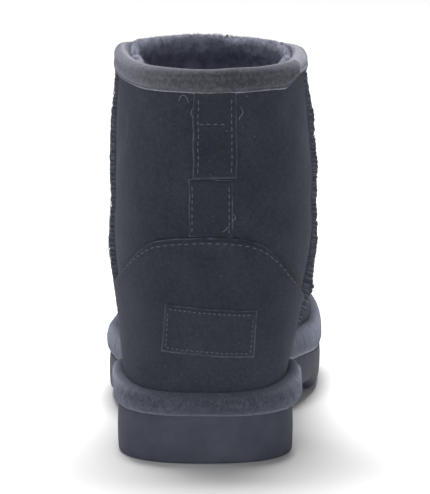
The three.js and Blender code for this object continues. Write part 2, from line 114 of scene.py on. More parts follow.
def skin(v, angle):
    """Points of the upper's outside, in the part's own axes before the frame's shift."""
    v, angle = np.broadcast_arrays(np.asarray(v, float), np.asarray(angle, float))
    ring = ring_at(v)
    side = np.where(np.sin(angle) >= 0, 1.0, -1.0)
    cos = np.cos(angle)
    widest = ring["widest"] / 100 * LENGTH - side * ring["skew"]
    back, front = ring["back"] / 100 * LENGTH, ring["front"] / 100 * LENGTH
    station = widest + (np.where(cos > 0, front, back) - widest) * np.abs(cos)
    forward = station > widest
    reach = np.minimum(ring["heel_reach"] / 100 * LENGTH, widest - back)
    full = np.where(forward, ring["toe_full"], ring["heel_full"])
    rounded = np.where(forward, (station - widest) / (front - widest), 1 - (station - back) / reach)
    oval = (1 - np.clip(rounded, 0, 1) ** full) ** (1 / full)
    narrowing = np.where(forward, 0, smooth((widest - station) / (widest - back - reach + 1)))
    percent = mix(ring["half"], ring["heel_half"], narrowing)
    share = np.where(side > 0, WAIST["lateral"], WAIST["medial"])
    hollow = ring["waist"] * share * bump(station, WAIST["station"], WAIST["reach"])
    along = (station - back) / (front - back)
    middle = mix(ring["heel_shift"], ring["toe_shift"], np.clip(along, 0, 1) ** 2)
    x = middle + side * (percent / 200 * BALL_WIDTH - hollow) * oval
    wave = sum(w["rise"] * bump(station, w["station"], w["reach"]) for w in FEATHER_WAVES)
    up = mix(ring["back_up"], ring["front_up"], along) / 100
    rise = np.where(side > 0, RIM_RISE["lateral"], RIM_RISE["medial"]) * np.sin(angle) ** RIM_RISE["sharp"]
    z = mix(HEEL_HEIGHT, RIM_HEIGHT, up) + wave * (1 - smooth(v / WAVE_FADE))
    z = z + rise * smooth(1 - (1 - v) / RIM_RISE["fade"])
    return np.stack([x, LENGTH / 2 - station, z], axis=-1)


def unit(vectors):
    return vectors / np.maximum(np.linalg.norm(vectors, axis=-1, keepdims=True), 1e-9)


def normal_at(v, angle):
    step = 0.004
    up = skin(np.minimum(v + step, 1), angle) - skin(np.maximum(v - step, 0), angle)
    return unit(np.cross(skin(v, angle + step) - skin(v, angle - step), up))


def level(normals):
    """The same directions, made horizontal."""
    return unit(normals * (1, 1, 0))


# The CAD puts the footprint's middle at the origin. The upper's box tells how far that moved it.
cad_rings = skin(np.linspace(0, 1, 21)[:, None], np.arange(56) * TAU / 56)
SHIFT = np.array(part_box("upper")[0]) * 1000 - cad_rings.reshape(-1, 3).min(axis=0)


def noise(points, size, seed):
    """Smooth noise from -1 to 1, with lumps about size across."""
    table = np.random.default_rng(seed).uniform(-1, 1, (32, 32, 32))
    place = np.asarray(points) / size
    cell = np.floor(place).astype(int)
    part = smooth(place - cell)
    total = 0
    for corner in np.ndindex(2, 2, 2):
        weight = np.prod(np.where(np.array(corner) == 1, part, 1 - part), axis=-1)
        total = total + weight * table[tuple(np.moveaxis((cell + corner) % 32, -1, 0))]
    return total


# Soft troughs (negative depth) and ridges in the suede, each along a line from one place to another.
# Side 1 is lateral, -1 medial and 0 both; a place is (station, height); all in mm.
CREASES = (
    # side, start, end, depth, width
    (0, (150, 104), (126, 90), -1.6, 5),
    (1, (126, 90), (92, 86), -1.1, 6),
    (-1, (126, 90), (96, 92), -1.0, 6),
    (0, (136, 118), (112, 106), -1.2, 6),
    (0, (144, 111), (120, 98), 0.9, 5),
    (0, (196, 82), (182, 56), -0.9, 6),
    (0, (214, 76), (202, 50), -0.8, 6),
    (1, (74, 112), (18, 120), -0.8, 8),
    (-1, (78, 108), (20, 118), -0.9, 8),
    (-1, (92, 74), (112, 44), -1.0, 5),
    (1, (40, 150), (60, 132), -0.6, 7),
    (-1, (30, 158), (56, 140), -0.6, 7),
)


def relief(points):
    """How far the suede stands out of, or sinks below, the plain form."""
    station = LENGTH / 2 - points[..., 1]
    place = np.stack([station, points[..., 2]], axis=-1)
    total = 0.55 * noise(points, 34, 1) + 0.18 * noise(points, 13, 2)
    for side, start, end, depth, width in CREASES:
        line = np.subtract(end, start)
        share = np.clip((place - start) @ line / (line @ line), 0, 1)
        far = np.linalg.norm(place - (start + share[..., None] * line), axis=-1)
        near = smooth(0.5 + side * (points[..., 0] + 4) / 24) if side else 1
        total = total + depth * near * bump(far, 0, width)
    return total


def surface(v, angle, outward=0.0):
    """Points on the creased suede, moved outwards."""
    v, angle = np.broadcast_arrays(np.asarray(v, float), np.asarray(angle, float))
    points = skin(v, angle)
    return points + normal_at(v, angle) * (relief(points) + outward)[..., None]


def bisect(test, low, high, shape):
    """The value between low and high at which test stops being true, for each of an array of cases."""
    low, high = np.full(shape, float(low)), np.full(shape, float(high))
    for _ in range(22):
        middle = (low + high) / 2
        before = test(middle)
        low, high = np.where(before, middle, low), np.where(before, high, middle)
    return (low + high) / 2


def share_at_height(angle_at, height):
    shape = np.shape(height)
    return bisect(lambda v: skin(v, angle_at(v))[..., 2] < height, 0, 1, shape)


def angle_at_x(v, x):
    return bisect(lambda a: skin(v, a)[..., 0] > x, math.pi / 2, 1.5 * math.pi, np.shape(v))


def angle_at_station(v, side, station):
    ring = ring_at(v)
    widest = ring["widest"] / 100 * LENGTH - side * ring["skew"]
    end = np.where(station > widest, ring["front"], ring["back"]) / 100 * LENGTH
    share = np.clip((station - widest) / (end - widest), 0, 1)
    angle = np.arccos(np.sign(station - widest) * share)
    return np.where(np.asarray(side) > 0, angle, TAU - angle)


# ---- Meshes ----

def grid_quads(rows, columns, wrap_rows=False, wrap_columns=False):
    """Faces over a grid of points that is numbered row by row."""
    i, j = np.meshgrid(np.arange(rows if wrap_rows else rows - 1),
                       np.arange(columns if wrap_columns else columns - 1), indexing="ij")
    i, j, k, m = i.ravel(), j.ravel(), (i.ravel() + 1) % rows, (j.ravel() + 1) % columns
    return np.stack([i * columns + j, k * columns + j, k * columns + m, i * columns + m], axis=1)


def new_object(name, data):
    made = bpy.data.objects.new(name, data)
    bpy.context.scene.collection.objects.link(made)
    return made


def piece(name, points, faces, material, stands_for=(), edge=None):
    """A closed mesh piece of the boot. Faces is a list of arrays, turned outwards if they aren't."""
    points = np.asarray(points, float).reshape(-1, 3)
    fan = np.concatenate([f[:, [0, k, k + 1]] for f in faces for k in range(1, f.shape[1] - 1)])
    a, b, c = (points[fan[:, k]] for k in range(3))
    if np.einsum("ij,ij->i", a, np.cross(b, c)).sum() < 0:
        faces = [f[:, ::-1] for f in faces]
    mesh = bpy.data.meshes.new(name)
    mesh.from_pydata(((points + SHIFT) / 1000).tolist(), [], [f for fs in faces for f in fs.tolist()])
    mesh.polygons.foreach_set("use_smooth", np.ones(len(mesh.polygons), bool))
    if edge is not None:
        mesh.attributes.new("edge", "FLOAT", "POINT").data.foreach_set("value", np.ravel(edge).astype("f"))
    mesh.materials.append(material)
    made = new_object(name, mesh)
    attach(made, "root")
    if stands_for:
        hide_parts(*stands_for)


def loft(points):
    """Faces of a closed band: a grid of sections by corners that joins up both ways."""
    return [grid_quads(points.shape[0], points.shape[1], True, True)]


def sheet(place, size, steps, inner, outer):
    """A sheet of leather. Place maps shares across and along, and a distance outwards, to points.

    Size is its width and height. Gives its points, its faces and how near each point is to the cut edge.
    """
    across, along = (edge_spaced(count, length) for count, length in zip(steps, size))
    u, w = np.meshgrid(across, along, indexing="ij")
    rim = np.minimum(np.minimum(u, 1 - u) * size[0], np.minimum(w, 1 - w) * size[1])
    thick = mix(0.35, 1, smooth(rim / 1.1)) * (outer - inner)
    top, under = place(u, w, inner + thick), place(u, w, np.full_like(u, inner))
    rows, columns = u.shape
    border = np.concatenate([np.arange(columns), np.arange(1, rows) * columns + columns - 1,
                             (rows - 1) * columns + np.arange(columns - 2, -1, -1),
                             np.arange(rows - 2, 0, -1) * columns])
    after = np.roll(border, -1)
    quads = grid_quads(rows, columns)
    walls = np.stack([border, after, after + u.size, border + u.size], axis=1)
    frayed = 0.55 + 0.6 * noise(top, 2.6, 7)
    edge = np.concatenate([(frayed * (1 - smooth(rim / 0.75))).ravel(), np.full(u.size, 0.4)])
    faces = [quads[:, ::-1], quads + u.size, walls]
    return np.concatenate([top.reshape(-1, 3), under.reshape(-1, 3)]), faces, edge


def edge_spaced(count, size, fine=(0.3, 0.65, 1.1)):
    """Shares from 0 to 1 over a size in mm, with extra ones close to both ends."""
    ends = np.array(fine) / size
    return np.unique(np.concatenate([[0, 1], ends, 1 - ends, np.linspace(ends[-1], 1 - ends[-1], count)]))


def tubes(paths, radius, sides=6, taper=0.35):
    """Thin closed tubes along paths of shape (tubes, points, 3), tapered at both ends."""
    count, steps, _ = paths.shape
    ahead = unit(np.gradient(paths, axis=1))
    helper = np.where(np.abs(ahead[..., 2:3]) > 0.8, (1.0, 0, 0), (0, 0, 1.0))
    side = unit(np.cross(ahead, helper))
    other = np.cross(ahead, side)
    along = np.linspace(0, 1, steps)
    thick = radius * mix(taper, 1, np.sin(math.pi * along) ** 0.5)[None, :, None, None]
    turn = (np.arange(sides) * TAU / sides)[None, None, :, None]
    points = paths[:, :, None] + thick * (np.cos(turn) * side[:, :, None] + np.sin(turn) * other[:, :, None])
    quads = grid_quads(steps, sides, False, True)
    first = np.arange(sides)[None, ::-1]
    last = first[:, ::-1] + (steps - 1) * sides
    start = (np.arange(count) * steps * sides)[:, None, None]
    return points.reshape(-1, 3), [(f[None] + start).reshape(-1, f.shape[1]) for f in (quads, first, last)]


def distance_along(line):
    return np.concatenate([[0], np.cumsum(np.linalg.norm(np.diff(line, axis=0), axis=1))])


def follow(values, far, at):
    """Vectors that are kept along a line, read at distances along it."""
    return np.stack([np.interp(at, far, values[:, k]) for k in range(3)], axis=-1)


# ---- Materials ----

BLACK, WHITE = (0, 0, 0), (1, 1, 1)


def start_material(name, roughness, sheen=0.0, sheen_roughness=0.5, tint=WHITE):
    """A new material, its node tree, its shader and its texture coordinates."""
    material = bpy.data.materials.new(name)
    material.use_nodes = True
    tree = material.node_tree
    shader = tree.nodes["Principled BSDF"]
    shader.inputs["Roughness"].default_value = roughness
    shader.inputs["Sheen Weight"].default_value = sheen
    shader.inputs["Sheen Roughness"].default_value = sheen_roughness
    shader.inputs["Sheen Tint"].default_value = (*tint, 1)
    place = tree.nodes.new("ShaderNodeTexCoord").outputs["Object"]
    return material, tree, shader, place


def node(tree, kind, output, inputs, **settings):
    """A new node's output. Each input is given a value, or the output that is linked to it."""
    made = tree.nodes.new("ShaderNode" + kind)
    for name, value in settings.items():
        setattr(made, name, value)
    for name, value in inputs.items():
        if isinstance(value, bpy.types.NodeSocket):
            tree.links.new(value, made.inputs[name])
        else:
            made.inputs[name].default_value = value
    return made.outputs[output]


def noise_node(tree, place, size, detail=3.0, roughness=0.6):
    """Noise with lumps about size millimetres across, from 0 to 1."""
    values = {"Vector": place, "Scale": 1000 / size, "Detail": detail, "Roughness": roughness}
    return node(tree, "TexNoise", "Fac", values)


def ramp_node(tree, value, low, high, start, end):
    """A value turned into a colour, from start at low to end at high."""
    colour = node(tree, "ValToRGB", "Color", {"Fac": value})
    for stop, at, given in zip(colour.node.color_ramp.elements, (low, high), (start, end)):
        stop.position = at
        stop.color = (*given, 1)
    return colour


def mix_node(tree, share, first, second):
    """A colour output mixed with a plain colour, by a share."""
    return node(tree, "Mix", 2, {0: share, 6: first, 7: (*second, 1)}, data_type="RGBA")


def math_node(tree, operation, first, second):
    return node(tree, "Math", 0, {0: first, 1: second}, operation=operation)


def bump_node(tree, height, depth, before=None):
    """Fine relief of a depth in millimetres, on top of another one if that is given."""
    values = {"Distance": depth / 1000, "Height": height}
    return node(tree, "Bump", "Normal", {**values, "Normal": before} if before else values)


def edge_node(tree):
    """How pale each place is made, which a piece carries as its attribute edge."""
    return node(tree, "Attribute", "Fac", {}, attribute_name="edge")


CLOUD_SHARE = 0.35  # how much of the suede's pattern is broad clouds; the rest is short fibres


def suede(name, dark, light, raw, sheen, nap=1.0):
    """Brushed suede: clouds where the nap lies differently, short fibres, lint, and lighter places that a
    piece carries: its cut edges, and on the counter, label, rand and binding also painted light.
    """
    material, tree, shader, place = start_material(name, 0.92, sheen, 0.42, (0.72, 0.8, 1.0))
    shader.inputs["Specular IOR Level"].default_value = 0.25
    clouds = noise_node(tree, place, 26, 2)
    fibres = noise_node(tree, place, 1.8 * nap, 5, 0.8)
    grain = noise_node(tree, place, 0.6 * nap, 3, 0.8)
    blend = math_node(tree, "ADD", math_node(tree, "MULTIPLY", clouds, CLOUD_SHARE * nap),
                      math_node(tree, "MULTIPLY", fibres, 1 - CLOUD_SHARE * nap))
    colour = ramp_node(tree, blend, 0.4, 0.6, dark, light)
    lint = ramp_node(tree, noise_node(tree, place, 1.1, 1), 0.75, 0.8, BLACK, WHITE)
    colour = mix_node(tree, math_node(tree, "MULTIPLY", lint, 0.5), colour, raw)
    frayed = ramp_node(tree, grain, 0.36, 0.62, (0.25, 0.25, 0.25), WHITE)
    colour = mix_node(tree, math_node(tree, "MULTIPLY", edge_node(tree), frayed), colour, raw)
    tree.links.new(colour, shader.inputs["Base Color"])
    rough = bump_node(tree, grain, 0.22 * nap)
    tree.links.new(bump_node(tree, fibres, 0.5 * nap, rough), shader.inputs["Normal"])
    return material


def moulded(name, dark, light):
    """Foamed rubber: a dull skin with a fine texture, faint clouds and rubbed places."""
    material, tree, shader, place = start_material(name, 0.7)
    shader.inputs["Specular IOR Level"].default_value = 0.2
    clouds = noise_node(tree, place, 14, 4, 0.6)
    skin_grain = noise_node(tree, place, 0.7, 2, 0.6)
    colour = ramp_node(tree, clouds, 0.35, 0.68, dark, light)
    rubbed = ramp_node(tree, noise_node(tree, place, 5, 6, 0.8), 0.62, 0.72, BLACK, WHITE)
    colour = mix_node(tree, math_node(tree, "MULTIPLY", rubbed, 0.35), colour, tuple(1.5 * c for c in light))
    tree.links.new(colour, shader.inputs["Base Color"])
    tree.links.new(bump_node(tree, skin_grain, 0.12), shader.inputs["Normal"])
    return material


def wool(name, dark, light, tip):
    """Clipped fleece: dark between its locks and lighter at the tips; its edge attribute also carries painted
    light on the lining inside the shaft.
    """
    material, tree, shader, place = start_material(name, 0.85, 0.2, 0.5, (0.85, 0.88, 1.0))
    locks = noise_node(tree, place, 4.5, 4, 0.65)
    upright = node(tree, "Mapping", "Vector", {"Vector": place, "Scale": (1, 1, 0.35)})
    strands = noise_node(tree, upright, 0.6, 3, 0.7)
    colour = ramp_node(tree, locks, 0.35, 0.65, dark, light)
    colour = mix_node(tree, edge_node(tree), colour, tip)
    tree.links.new(colour, shader.inputs["Base Color"])
    tree.links.new(bump_node(tree, strands, 0.8), shader.inputs["Normal"])
    return material


HIDE_RAW = (0.16, 0.175, 0.22)
SUEDE = suede("suede", (0.0155, 0.018, 0.027), (0.0285, 0.0325, 0.046), HIDE_RAW, 0.1)
STRAP_SUEDE = suede("strap suede", (0.0145, 0.0165, 0.024), (0.025, 0.028, 0.039), HIDE_RAW, 0.1)
RAND_SUEDE = suede("rand suede", (0.03, 0.034, 0.048), (0.072, 0.078, 0.103), (0.36, 0.37, 0.43), 0.38, 0.6)
BINDING_SUEDE = suede("binding suede", (0.0105, 0.0118, 0.017), (0.04, 0.042, 0.054), (0.42, 0.42, 0.47),
                      0.24, 0.5)
SOLE_FOAM = moulded("sole foam", (0.047, 0.053, 0.073), (0.064, 0.07, 0.094))
FLEECE = wool("fleece", (0.135, 0.144, 0.193), (0.31, 0.324, 0.414), (0.72, 0.74, 0.86))
THREAD = suede("thread", (0.055, 0.06, 0.075), (0.11, 0.116, 0.14), (0.5, 0.51, 0.57), 0.1, 0.25)

# ---- Upper, lining and insole ----

def sections(count):
    """Angles of evenly spaced sections round the boot, as a column."""
    return (np.arange(count) * TAU / count)[:, None]


def make_upper():
    angles = sections(360)
    outside = surface(np.linspace(0, 1, 180)[None], angles)
    outside = outside + normal_grain(outside)
    inside = surface(np.linspace(1, 0, 42)[None], angles, -HIDE)
    points = np.concatenate([outside, inside], axis=1)
    piece("suede_upper", points, loft(points), SUEDE, ["upper"])


def normal_grain(points):
    """Tiny unevenness of the hide, the same in every direction."""
    return np.stack([0.09 * noise(points, 3.2, seed) for seed in (11, 12, 13)], axis=-1)


FLEECE_RISE = {"back": 0.6, "front": 4.6, "lateral_front": 0.7}


def fleece_rise(angle):
    """How far the fleece stands above the rim: high in front and at the sides, low behind."""
    forward = np.cos(angle)
    rise = mix(FLEECE_RISE["back"], FLEECE_RISE["front"], smooth((forward + 0.7) / 0.9))
    return rise + FLEECE_RISE["lateral_front"] * np.sin(angle) * np.clip(forward, 0, 1)


def fleece_lumps(points):
    """Locks of fleece, from 0 in the partings to about 1 on the locks."""
    return np.clip(0.5 + 0.5 * noise(points, 8, 21) + 0.28 * noise(points, 3.4, 22), 0, 1.3)


PARTING = {"place": (-11, 23, 170), "size": (8, 14, 11), "depth": 5}


def parting(points):
    """The deep parting in the fleece inside the front rim, from 0 to 1."""
    return bump(np.linalg.norm((points - PARTING["place"]) / PARTING["size"], axis=-1), 0, 1)


TUFT = {"place": (-6.5, 21.5, 183), "reach": 2.6, "rise": 0.9}


def tuft(points):
    """One lock that stands up from the fleece in front."""
    return TUFT["rise"] * bump(np.linalg.norm(points - TUFT["place"], axis=-1), 0, TUFT["reach"])


def rim_arch(angle, turn, middle, half, rise):
    """Points on an arch over the rim, half wide to each side of the middle and rise high."""
    outward = middle + half * np.cos(turn)
    over = surface(1.0, angle) + level(normal_at(1.0, angle)) * outward[..., None]
    over[..., 2] += rise * np.sin(turn)
    return over


FLEECE_BACK = -HIDE - 0.25
FLEECE_LIP = {"outer": -4.3, "inner": -9.6, "drop": 4.6}
FLEECE_TOP = 0.985  # the share at which the fleece inside goes over into its crest


def fleece_crest(angle, turn):
    """The fleece's crest over the rim, from its outer side to its inner one as turn goes from 0 to pi."""
    middle, half = ((FLEECE_LIP["outer"] + sign * FLEECE_LIP["inner"]) / 2 for sign in (1, -1))
    return rim_arch(angle, turn, middle, half, fleece_rise(angle))


def fleece_surface(v, angle):
    """The fleece's surface inside the boot, with its locks."""
    base = surface(v, angle, -0.85 * WALL)
    lip = smooth((v - 0.93) / 0.07)
    depth = 1.9 * fleece_lumps(base) + 1.4 * lip - PARTING["depth"] * parting(base)
    return base - normal_at(v, angle) * depth[..., None]


def painted_inner_light(v):
    """How much lighter the fleece is painted, more below the rim: painted light on the inner wall of the
    shaft.
    """
    return 0.75 * smooth((0.98 - v) / 0.1)


def make_lining():
    angle = sections(330)
    rim_z = skin(1.0, angle)[..., 2]
    below = share_at_height(lambda v: angle, rim_z - FLEECE_LIP["drop"])
    back = surface(below * np.linspace(0.02, 1, 46)[None], angle, FLEECE_BACK)
    lip = surface(below + (1 - below) * np.array([[0.1, 0.5, 0.9]]), angle, FLEECE_LIP["outer"])
    turn = np.linspace(0.15, math.pi, 11)[None]
    crest = fleece_crest(angle, turn)
    crest[..., 2] += (0.5 * noise(crest, 5, 23) - 3 * parting(crest)) * np.sin(turn)
    v = mix(FLEECE_TOP, 0.02, np.linspace(0, 1, 120)[None] ** 1.15)
    inside = fleece_surface(v, angle)
    points = np.concatenate([back, lip, crest, inside], axis=1)
    edge = np.zeros(points.shape[:2])
    # The fleece inside is painted lighter below the rim: painted light.
    edge[:, -v.size:] = painted_inner_light(v)
    piece("fleece_lining", points, loft(points), FLEECE, edge=edge)


def fur(name, count, v_range, length, seed, width):
    """Curly tapered strands, gathered into locks, rooted on the fleece and its crest."""
    random = np.random.default_rng(seed)
    v = random.uniform(*v_range, count)
    angle = random.uniform(0, TAU, count)
    turn = random.uniform(0.2, math.pi, count)
    on_crest = (v > FLEECE_TOP)[:, None]
    root = np.where(on_crest, fleece_crest(angle, turn), fleece_surface(np.minimum(v, FLEECE_TOP), angle))
    inward = -normal_at(np.minimum(v, 1), angle)
    up = np.array([0, 0, 1.0])
    crest_way = level(inward) * -np.cos(turn)[:, None] + up * np.sin(turn)[:, None]
    lock = np.stack([noise(root, 6, s) for s in (31, 32, 33)], axis=-1)
    way = 0.8 * np.where(on_crest, crest_way, inward) + 0.95 * lock + 0.25 * up
    way = unit(way + random.normal(0, 0.16, (count, 3)))
    curl = unit(np.cross(way, random.normal(0, 1, (count, 3)) + 2 * lock))
    far = length * random.uniform(0.6, 1.15, count)[:, None] * (0.7 + 0.45 * fleece_lumps(root))[:, None]
    far = far * ((1 - 0.5 * parting(root)) * np.where(v > FLEECE_TOP, 0.6, 1) + tuft(root))[:, None]
    shares = np.array([0, 0.4, 0.75, 1.0])
    bends = (curl * far * 0.3 * math.sin(2.6 * s) for s in shares)
    line = np.stack([root + (far * s - 0.6) * way + bend for s, bend in zip(shares, bends)], axis=1)
    across = unit(np.cross(way, curl + 0.5 * random.normal(0, 1, (count, 3))))[:, None]
    half_width = (width / 2 * (1 - 0.85 * shares ** 1.5))[None, :, None]
    points = np.stack([line - across * half_width, line + across * half_width], axis=2)
    faces = (grid_quads(4, 2)[None] + (np.arange(count) * 8)[:, None, None]).reshape(-1, 4)
    tip = np.repeat(0.12 * shares ** 2, 2)[None] * random.uniform(0.4, 1.2, count)[:, None]
    # Strands below the rim are painted lighter too: painted light.
    piece(name, points, [faces], FLEECE, edge=np.clip(tip + painted_inner_light(v)[:, None], 0, 1))


# ---- Slabs: sole and insole ----

def station_of(points):
    return LENGTH / 2 - points[..., 1]


def feather_height(station):
    ring = dict(zip(COLUMNS, RINGS[0]))
    station = np.clip(station, 5, LENGTH - 5)
    along = (station / LENGTH * 100 - ring["back"]) / (ring["front"] - ring["back"])
    wave = sum(w["rise"] * bump(station, w["station"], w["reach"]) for w in FEATHER_WAVES)
    return mix(HEEL_HEIGHT, RIM_HEIGHT, mix(ring["back_up"], ring["front_up"], along) / 100) + wave


def heel_to_toe(heel, toe, station):
    return mix(heel, toe, smooth((station - 30) / (0.45 * LENGTH)))


# Lift of the tread at the waist, between two stations and with a ramp at both ends.
ARCH = {
    "lateral": {"lift": 3.5, "from": 82, "until": 160, "ramp": 20},
    "medial": {"lift": 6.5, "from": 82, "until": 171, "ramp": 22},
}


def arch_height(station, side):
    arch = ARCH[side]
    ramps = smooth((station - arch["from"]) / arch["ramp"]) * smooth((arch["until"] - station) / arch["ramp"])
    return arch["lift"] * ramps


def tread_height(station, lateral):
    """The tread's height; lateral is 1 at its lateral edge and 0 at its medial edge."""
    arch = mix(arch_height(station, "medial"), arch_height(station, "lateral"), lateral)
    return arch + 11 * np.clip((station - 204) / (LENGTH - 204), 0, 1) ** 1.8


def slab(rings, columns_above, columns_below, above, below):
    """A slab from rings of points, from its top edge to its bottom edge, closed by two ladders of rungs.

    Above and below give the height of the inner points of each rung.
    """
    count = rings.shape[1]
    half = count // 2
    points = [rings.reshape(-1, 3)]
    faces = [grid_quads(rings.shape[0], count, False, True)]
    start = rings.shape[0] * count
    for ring, columns, height, flip in ((0, columns_above, above, False),
                                        (rings.shape[0] - 1, columns_below, below, True)):
        left = np.arange(1, half)
        right = count - left
        share = np.linspace(0, 1, columns + 1)[1:-1][None, :, None]
        inner = mix(rings[ring, left][:, None], rings[ring, right][:, None], share)
        inner[..., 2] = height(inner)
        number = start + np.arange(inner.shape[0] * inner.shape[1]).reshape(inner.shape[:2])
        start += number.size
        points.append(inner.reshape(-1, 3))
        rungs = np.concatenate([ring * count + left[:, None], number, ring * count + right[:, None]], axis=1)
        a, b, c, d = rungs[:-1, :-1], rungs[:-1, 1:], rungs[1:, 1:], rungs[1:, :-1]
        quads = np.stack([a, b, c, d], axis=-1).reshape(-1, 4)
        toe = np.stack([np.full(columns, ring * count), rungs[0, 1:], rungs[0, :-1]], axis=1)
        heel = np.stack([np.full(columns, ring * count + half), rungs[-1, :-1], rungs[-1, 1:]], axis=1)
        faces += [f[:, ::-1] if flip else f for f in (quads, toe, heel)]
    return np.concatenate(points), faces


def feather_ring(angle, outward, height, back=0):
    """The feather line moved outwards and back in plan, at a height that may be worked out by station."""
    ring = skin(0.0, angle) + level(normal_at(0.0, angle)) * np.expand_dims(outward, -1)
    ring[:, 2] = height(station_of(ring)) if callable(height) else height
    ring[:, 1] += back
    return ring


GROOVE = {"width": 4, "depth": 2.6, "wave": 2.2, "bends": 6, "border": 5, "pitch": 13}
GROOVE_FIELDS = ((16, 81), (169, 247))


def groove_depth(points, half):
    """Depth of the wavy cross grooves at places on the tread; half is the tread's half-width there."""
    station = station_of(points)
    phase = (points[..., 0] - half["low"]) / (half["high"] - half["low"]) * GROOVE["bends"]
    wave = GROOVE["wave"] * (2 * np.abs(phase % 2 - 1) - 1)
    depth = 0
    for start, end in GROOVE_FIELDS:
        for at in np.arange(start, end + 1, GROOVE["pitch"]):
            far = np.abs(station - at + wave)
            depth = np.maximum(depth, GROOVE["depth"] * smooth((GROOVE["width"] / 2 + 0.5 - far) / 1.0))
    inside = np.minimum(points[..., 0] - half["low"], half["high"] - points[..., 0])
    return depth * smooth(inside / 1.2)


# The margin round the feather line and the radius of the lower edge go from the heel's to the toe's. The
# flare is how far the heel's lower edge stands out behind the upper one.
SOLE = {"margin": (5.0, 3.9), "radius": (2.6, 6.5), "sharper_behind": 1.4, "flare": 2.2, "top_radius": 0.5}


def make_sole():
    count = 520
    angle = sections(count)[:, 0]
    station = station_of(skin(0.0, angle))
    lateral_side = (np.sin(angle) > 0).astype(float)
    margin = heel_to_toe(*SOLE["margin"], station)
    radius = heel_to_toe(*SOLE["radius"], station) - SOLE["sharper_behind"] * bump(angle, math.pi, 0.8)
    flare = SOLE["flare"] * bump(angle, math.pi, 1.2)
    rings = []
    for turn in np.linspace(0, math.pi / 2, 3):
        drop = 0.05 + SOLE["top_radius"] * (1 - math.cos(turn))
        outward = margin - SOLE["top_radius"] * (1 - math.sin(turn))
        rings.append(feather_ring(angle, outward, lambda at: feather_height(at) - drop))
    top, foot = rings[-1][:, 2], tread_height(station, lateral_side) + radius
    for share in np.linspace(0, 1, 14)[1:-1]:
        outward = margin + 0.35 * math.sin(math.pi * share)
        rings.append(feather_ring(angle, outward, mix(top, foot, share), flare * share))
    for turn in np.linspace(0, math.pi / 2, 12):
        rise = radius * (1 - math.sin(turn))
        outward = margin - radius * (1 - math.cos(turn))
        height = lambda at: tread_height(at - flare, lateral_side) + rise
        rings.append(feather_ring(angle, outward, height, flare))
    rings = np.array(rings)
    rings[..., :2] += 0.16 * np.stack([noise(rings, 16, 41), noise(rings, 16, 42)], axis=-1)
    edge = feather_ring(angle, margin - radius, 0)
    lateral, medial = edge[:count // 2 + 1], edge[np.r_[0, count - 1:count // 2 - 1:-1]]

    def below(points):
        at = station_of(points)
        high, low = (np.interp(at, station_of(side)[::-1], side[::-1, 0]) for side in (lateral, medial))
        across = np.clip((points[..., 0] - low) / np.maximum(high - low, 1), 0, 1)
        inset = GROOVE["border"] - 3
        return tread_height(at, across) + groove_depth(points, {"high": high - inset, "low": low + inset})

    points, faces = slab(rings, 8, 110, lambda p: feather_height(station_of(p)) - 0.35, below)
    piece("sole_unit", points, faces, SOLE_FOAM, ["sole"])


def make_insole():
    angle = sections(260)[:, 0]
    rings = []
    for drop, inset in ((0, 1.6), (0.5, 0.5), (1.6, 0), (6, 0)):
        rings.append(feather_ring(angle, 1.0 - WALL - inset, lambda at: feather_height(at) + 6 - drop))

    def above(points):
        return feather_height(station_of(points)) + 5.6 + 1.1 * fleece_lumps(points)

    points, faces = slab(np.array(rings), 60, 4, above, lambda p: feather_height(station_of(p)))
    piece("insole_fleece", points, faces, FLEECE, ["insole"])


# ---- Rand and binding ----

def rand_height(station):
    return mix(10.5, 14.5, smooth(station / 35))


# Where the waist draws the rand in on both sides, and where its two ends meet on the medial side.
PINCH = {"from": 60, "sharp": 9, "until": 86, "fade": 40, "depth": 0.56}
RAND_LAP = {"station": 91, "reach": 1.1}
RAND_LIP = {"station": 42, "reach": 22, "out": 2.2}  # its top edge stands off the counter beside the heel
RAND_SINK = 0.8  # how far its lower edge covers the sole's


def rand_pinch(station):
    fade = smooth((station - PINCH["until"]) / PINCH["fade"])
    return smooth((station - PINCH["from"]) / PINCH["sharp"]) * (1 - fade)


def rand_place(angle, turn):
    """The rand's surface: fine gathers on a padded roll, drawn in at the waist; turn runs from 0 to pi."""
    base = skin(0.0, angle)
    station = station_of(base)
    lap = np.where(base[..., 0] < -4, bump(station, RAND_LAP["station"], RAND_LAP["reach"]), 0)
    pinch = rand_pinch(station)
    low = base * (1, 1, 0)
    swell = 1 + 0.05 * noise(low, 22, 51) + 0.035 * noise(low, 9, 52) + 0.1 * bump(station, 55, 9)
    lean = -2 * np.sin(angle) * (1 - smooth((station - 30) / (0.45 * LENGTH)))
    bulge = (heel_to_toe(8.2, 5.0, station) + lean) * swell * (1 - PINCH["depth"] * pinch - 0.25 * lap)
    high = rand_height(station) * (1 - 0.12 * pinch)
    up = 0.5 - 0.5 * np.cos(turn) - 0.07 * np.sin(turn) ** 2
    turned = angle + 0 * up
    v = share_at_height(lambda v: turned, base[..., 2] + up * (high + RAND_SINK) - RAND_SINK)
    along = np.stack(np.broadcast_arrays(station + 6 * up, 40 * np.sin(angle), 4 * up), axis=-1)
    gathers = noise(along, 2.4, 53) + 0.8 * noise(along, 1.2, 54)
    fine = gathers * (0.17 + 0.28 * np.cos(turn) ** 2) * np.sin(turn) ** 0.5
    lip = RAND_LIP["out"] * bump(station, RAND_LIP["station"], RAND_LIP["reach"])
    away = np.sin(turn) ** 0.62 * bulge + fine + lip * smooth((turn - 1.8) / 1.1)
    points = surface(v, turned, 0.3) + level(normal_at(v, turned)) * away[..., None]
    return points, base, high, lip, lap


